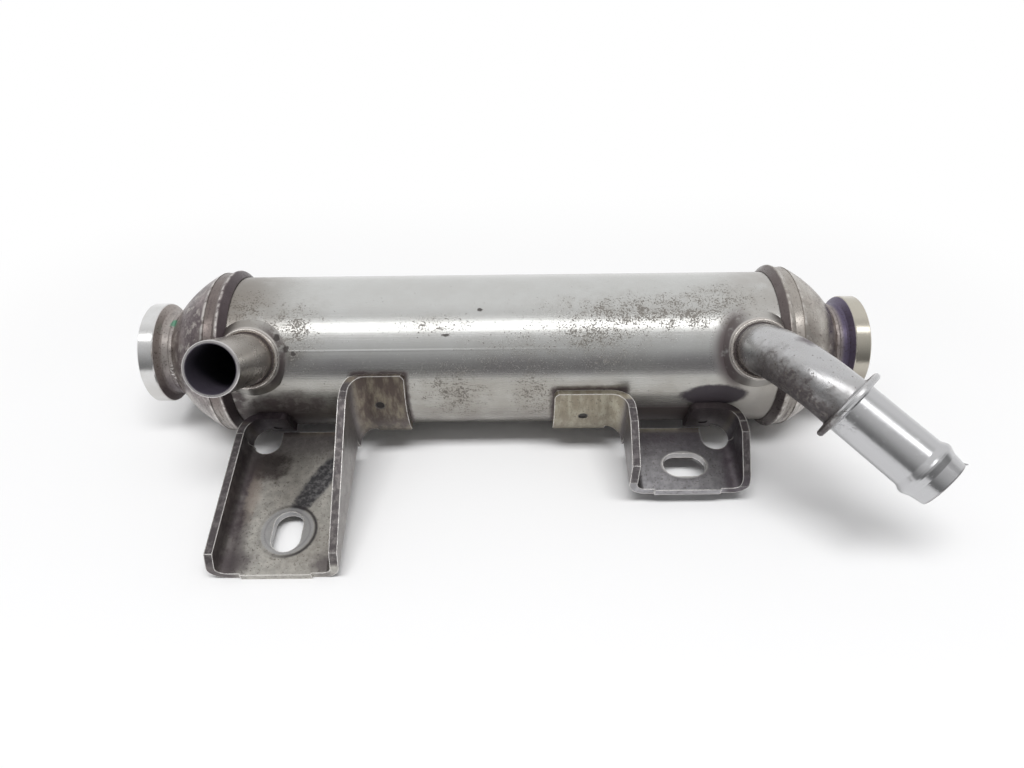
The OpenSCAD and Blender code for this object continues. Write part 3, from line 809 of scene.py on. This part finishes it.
# The bent coolant pipe: the same pipe with a bend, an upset stop bead and a rolled barb for the
# hose. Clean and bright where the hose sat, tarry dirt under the bend, brown at the collar.
elbow_finish, tree, shader = finish_of("bent_pipe")
at = placed(tree, place)
where = at["Place"]
to_hose = placed(tree, off_line, {"Start": hose["pos_m"], "Way": hose["axis"]})
hose_part = rise(tree, to_hose["Along"], -13.6, -12.8)
bore = rise(tree, to_hose["Off"], 7.4, 7.15)
bore = times(tree, bore, rise(tree, to_hose["Along"], -17.0, -16.0))
tar = most(
    tree,
    patch(tree, where, (202, 45.5, 26.5), (9.5, 8, 8), 0.4, 0.35, 4.0),
    patch(tree, where, (208.5, 53, 26), (8.5, 8, 8), 0.4, 0.35, 4.0),
    times(tree, patch(tree, where, (197.5, 37, 25), (7, 8, 8), 0.5, 0.4, 4.0), 0.9),
)
crumbs = most(tree, blot(tree, where, 1.3, 0.58, 0.08), blot(tree, where, 4.0, 0.5, 0.1))
mark = patch(tree, where, (206.5, 33.0, 36.5), (2.6, 2.4, 2.4), 0.5)
near_collar = rise(tree, at["Radius"], 37.0, 30.0)
near_collar = times(tree, near_collar, rise(tree, at["Angle"], 58.0, 42.0))
blotch = blot(tree, where, 6.0, 0.45, 0.25)
specks = specks_of(tree, where, 0.8, sums(tree, "MULTIPLY_ADD", tar, 0.35, 0.42))
old_part = sums(tree, "SUBTRACT", 1.0, hose_part)
colour = stained(
    tree,
    (0.54, 0.54, 0.55),
    (times(tree, old_part, blotch), 0.4, (0.45, 0.435, 0.42)),
    (near_collar, 0.75, (0.2, 0.165, 0.15)),
    (times(tree, old_part, tar), 0.86, (0.15, 0.132, 0.118)),
    (times(tree, old_part, tar, crumbs), 0.9, (0.05, 0.04, 0.044)),
    (times(tree, old_part, specks), 0.7, (0.12, 0.1, 0.09)),
    (mark, 0.85, (0.09, 0.07, 0.08)),
    (bore, 1.0, (0.12, 0.1, 0.1)),
)
grime = most(tree, times(tree, old_part, tar, crumbs), mark, times(tree, bore, 0.8))
drawn = placed(tree, drawn_lines, {"Where": where, "Stretch": (1.2, 1.2, 1.2)})["Value"]
gloss = sums(tree, "MULTIPLY_ADD", blotch, 0.08, 0.24)
gloss = sums(tree, "MULTIPLY_ADD", hose_part, -0.06, gloss)
gloss = sums(tree, "MULTIPLY_ADD", grime, 0.22, gloss)
height = sums(tree, "MULTIPLY_ADD", times(tree, tar, crumbs), 0.1, times(tree, specks, 0.04))
height = sums(tree, "MULTIPLY_ADD", drawn, 0.01, height)
surface(tree, shader, colour, grime, gloss, height, 1.0, 0.3)
dress("coolant_elbow", elbow_finish)


# The burr at the hose mouth: a thin lip of the pipe's own stainless metal on the upper right of its
# end, bent outwards. It is part of the pipe and has the pipe's finish.
def bent_lip(mouth, way, towards, off_axis, half_turn, n):
    """Points and quads of a lip. It follows a circle of off_axis about way for half_turn degrees on
    both sides of the direction towards, starts inside the mouth, runs out past it, and leans
    outwards by a parabola across the lip times a power of the way along it."""
    lean_out, start, run, lean_over = 0.9, -1.2, 1.15, 0.75
    spoke = np.cross(np.cross(way, towards), way)
    spoke /= np.linalg.norm(spoke)
    square = np.cross(way, spoke)
    across, out = np.meshgrid(np.linspace(-1, 1, n), np.linspace(0, 1, n), indexing="ij")
    lean = (1 - across**2) * out**1.6
    turn = np.radians(half_turn * across + 5.0 * out * across**2)[..., None]
    spokes = np.cos(turn) * spoke + np.sin(turn) * square
    points = mouth + (off_axis + lean_out * lean)[..., None] * spokes
    points = points + (start + run * out + lean_over * lean)[..., None] * way
    i, j = np.meshgrid(np.arange(n - 1), np.arange(n - 1), indexing="ij")
    corner = i * n + j
    quads = np.stack([corner, corner + n, corner + n + 1, corner + 1], -1)
    return points, quads.reshape(-1, 4).tolist()


tilt_c, tilt_s = math.cos(rest_tilt), math.sin(rest_tilt)
to_level = np.array([[1, 0, 0], [0, -tilt_c, -tilt_s], [0, -tilt_s, tilt_c]])
hose_way = to_level @ np.array(hose["axis"])
hose_mouth = to_level @ np.array(hose["pos_m"]) * 1000
hose_mouth = hose_mouth + hose_way * hose["dims"]["length_mm"] / 2
lip_points, lip_quads = bent_lip(hose_mouth, hose_way, (0.71, -0.53, 0.46), 7.36, 19.0, 17)
burr = as_object("mouth_burr", lip_points, lip_quads, elbow_finish)
skin = burr.modifiers.new("sheet", "SOLIDIFY")
skin.thickness, skin.offset = 0.00025, 1.0


# The brackets: channels folded from 2.5 mm sheet, with tabs turned out to lie on the shell, where
# they are brazed. Dull plates, purple-brown scale inside the folds and painted shade in the same
# colour towards the shell, edges rubbed to bare metal.
worn_edge, take, out = effect("worn_edge", {"Reach": 0.0004}, {"Mask": "f"})
rounded = wire(worn_edge, "Bevel", {"Radius": take["Reach"]}, samples=6).outputs[0]
facing = wire(worn_edge, "NewGeometry").outputs["True Normal"]
straight = vectors(worn_edge, "DOT_PRODUCT", rounded, facing, 1)
bent = sums(worn_edge, "SUBTRACT", 1.0, straight)
worn_edge.links.new(rise(worn_edge, bent, 0.008, 0.07), out["Mask"])


def bracket_finish(name, plate, fold_scale_and_shade, tab, tab_stain, inner_x, outer_x, back_tab, dimple, marks):
    """Folded sheet: plate colour, fold_scale_and_shade inside the flange at inner_x and as painted
    shade towards the shell, tab colour on the shell and dark scaling on the back tab, bare edges.
    marks(tree, at) gives more layers."""
    made, tree, shader = finish_of(name)
    at = placed(tree, place)
    where = at["Place"]
    axes = wire(tree, "SeparateXYZ", {0: where}).outputs
    blotch = blot(tree, where, 6.0, 0.5, 0.2)
    mottle = blot(tree, where, 2.0, 0.5, 0.14)
    specks = specks_of(tree, where, 0.55, 0.66)
    facing = wire(tree, "NewGeometry").outputs["True Normal"]
    upright = sums(tree, "ABSOLUTE", wire(tree, "SeparateXYZ", {0: facing}).outputs[0])
    on_tab = rise(tree, at["Radius"], 31.5, 28.6)
    off_fold = sums(tree, "ABSOLUTE", sums(tree, "SUBTRACT", axes[0], inner_x))
    in_fold = rise(tree, off_fold, 7.5, 2.5)
    # darker towards the shell, where the plate runs in under the tube: painted shade, in the fold
    # scale colour
    shade_near_shell = rise(tree, axes[1], 44.0, 29.0)
    scaled = most(tree, in_fold, times(tree, shade_near_shell, 0.85))
    scaled = times(tree, scaled, sums(tree, "MULTIPLY_ADD", blotch, 0.3, 0.7))
    outer_side = times(tree, upright, rise(tree, axes[0], *outer_x))
    hidden_tab = times(tree, on_tab, rise(tree, axes[0], *back_tab))
    edge_strip = times(
        tree,
        rise(tree, axes[2], -9.0, -7.0),
        rise(tree, upright, 0.4, 0.2),
        rise(tree, on_tab, 0.5, 0.2),
    )
    mottled = times(tree, edge_strip, blot(tree, where, 1.8, 0.6, 0.12))
    pit = times(tree, patch(tree, where, dimple, (1.6, 1.6, 1.6), 0.15, 0.05), on_tab)
    round_pit = patch(tree, where, dimple, (2.6, 2.6, 2.6), 0.2, 0.05)
    off_pit = rise(tree, round_pit, 1.0, 0.0, 0.15, 1.0)
    streaks = blot(tree, vectors(tree, "MULTIPLY", where, (1.6, 0.5, 0.5)), 4.0, 0.55, 0.14)
    bare = placed(tree, worn_edge, {"Reach": 0.0005})["Mask"]
    bare = times(tree, bare, blot(tree, where, 1.6, 0.78, 0.14), off_pit)
    bare = times(tree, bare, rise(tree, hidden_tab, 1.0, 0.4))
    colour = stained(
        tree,
        plate,
        (blotch, 0.4, tuple(0.62 * c for c in plate)),
        (mottle, 0.5, tuple(0.5 * c for c in plate)),
        (scaled, 1.0, fold_scale_and_shade),
        (outer_side, 0.7, (0.22, 0.2, 0.2)),
        (on_tab, 1.0, tab),
        (times(tree, on_tab, streaks), 0.85, tab_stain),
        (hidden_tab, 0.9, (0.045, 0.034, 0.045)),
        (specks, 0.55, (0.1, 0.085, 0.075)),
        *marks(tree, at),
        (edge_strip, 0.85, (0.17, 0.155, 0.155)),
        (mottled, 0.8, (0.055, 0.046, 0.05)),
        (pit, 0.95, (0.02, 0.016, 0.016)),
        (bare, 0.95, (0.88, 0.86, 0.83)),
    )
    dull = most(tree, times(tree, scaled, 0.6), pit, times(tree, mottled, 0.6))
    gloss = sums(tree, "MULTIPLY_ADD", blotch, 0.12, 0.3)
    gloss = sums(tree, "MULTIPLY_ADD", scaled, 0.1, gloss)
    gloss = sums(tree, "MULTIPLY_ADD", bare, -0.1, gloss)
    height = sums(tree, "MULTIPLY_ADD", specks, 0.05, times(tree, blotch, 0.03))
    surface(tree, shader, colour, dull, gloss, height, 1.0, 0.4)
    return made


def on_plate(tree, at):
    """Mask of a bracket's upper plate face."""
    return rise(tree, wire(tree, "SeparateXYZ", {0: at["Place"]}).outputs[2], -10.6, -11.4)


def from_slot(tree, at, centre, squash):
    """Offset from a slot's centre in the plate, squashed, and its length."""
    flat = vectors(tree, "SUBTRACT", at["Place"], centre)
    flat = vectors(tree, "MULTIPLY", flat, squash)
    return flat, vectors(tree, "LENGTH", flat, output=1)


def long_marks(tree, at):
    """Bolt-head ring round the slot, the dark scrape that leads to it, stains and corner dirt."""
    where, flat_part = at["Place"], on_plate(tree, at)
    flat, away = from_slot(tree, at, (53.6, 64.4, 0), (1, 1, 0))
    side = rise(tree, wire(tree, "SeparateXYZ", {0: flat}).outputs[0], -6.0, 5.0)
    pressed = rise(tree, away, 8.3, 7.7)
    one_side = sums(tree, "MULTIPLY_ADD", side, 0.75, 0.25)
    ring = times(tree, between(tree, away, 8.2, 9.1, 0.35), one_side)
    groove = between(tree, away, 6.6, 7.1, 0.25)
    scrape = patch(tree, where, (60.6, 46.8, -11.8), (13.5, 3.5, 9), 0.2, 0.16, 2.0, 62.0)
    rough = blot(tree, where, 1.1, 0.62, 0.15)
    brown = patch(tree, where, (43.5, 40.5, -11.8), (6, 6, 9), 0.5)
    pale = patch(tree, where, (40.5, 50, -10), (2.0, 10, 9), 0.5)
    corners = most(
        tree,
        patch(tree, where, (40, 74.5, -11.8), (5, 3.5, 9), 0.6),
        patch(tree, where, (66.5, 75.5, -11.8), (3.5, 3.5, 9), 0.6),
    )
    rust = patch(tree, where, (62, 70, -11.8), (9, 8, 9), 0.8)
    layers = (
        (pale, 0.5, (0.5, 0.43, 0.37)),
        (brown, 0.85, (0.07, 0.056, 0.056)),
        (rust, 0.25, (0.2, 0.17, 0.14)),
        (corners, 0.75, (0.09, 0.075, 0.08)),
        (scrape, 0.8, (0.15, 0.15, 0.16)),
        (times(tree, scrape, rough), 0.8, (0.045, 0.043, 0.048)),
        (pressed, 0.75, (0.4, 0.4, 0.41)),
        (groove, 0.3, (0.16, 0.155, 0.16)),
        (ring, 0.9, (0.05, 0.046, 0.05)),
    )
    return [(times(tree, mask, flat_part), share, over) for mask, share, over in layers]


def short_marks(tree, at):
    """A rubbed rim round the slot and a dark band outside it."""
    flat_part = on_plate(tree, at)
    _, away = from_slot(tree, at, (178, 41.6, 0), (0.7, 1, 0))
    layers = (
        (rise(tree, away, 7.4, 5.6), 0.35, (0.16, 0.15, 0.16)),
        (rise(tree, away, 5.6, 5.1), 0.7, (0.6, 0.59, 0.58)),
    )
    return [(times(tree, mask, flat_part), share, over) for mask, share, over in layers]


long_finish = bracket_finish(
    name="long_bracket_sheet",
    plate=(0.54, 0.52, 0.48),
    fold_scale_and_shade=(0.085, 0.068, 0.074),
    tab=(0.27, 0.235, 0.18),
    tab_stain=(0.075, 0.054, 0.052),
    inner_x=36.0,
    outer_x=(66.0, 71.0),
    back_tab=(52.0, 50.0),
    dimple=(80.0, 27.9, 3.3),
    marks=long_marks,
)
short_finish = bracket_finish(
    name="short_bracket_sheet",
    plate=(0.4, 0.39, 0.405),
    fold_scale_and_shade=(0.07, 0.054, 0.066),
    tab=(0.42, 0.39, 0.31),
    tab_stain=(0.26, 0.225, 0.17),
    inner_x=194.5,
    outer_x=(164.0, 159.0),
    back_tab=(177.0, 179.0),
    dimple=(145.5, 27.9, -3.3),
    marks=short_marks,
)
dress("long_bracket", long_finish)
dress("short_bracket", short_finish)
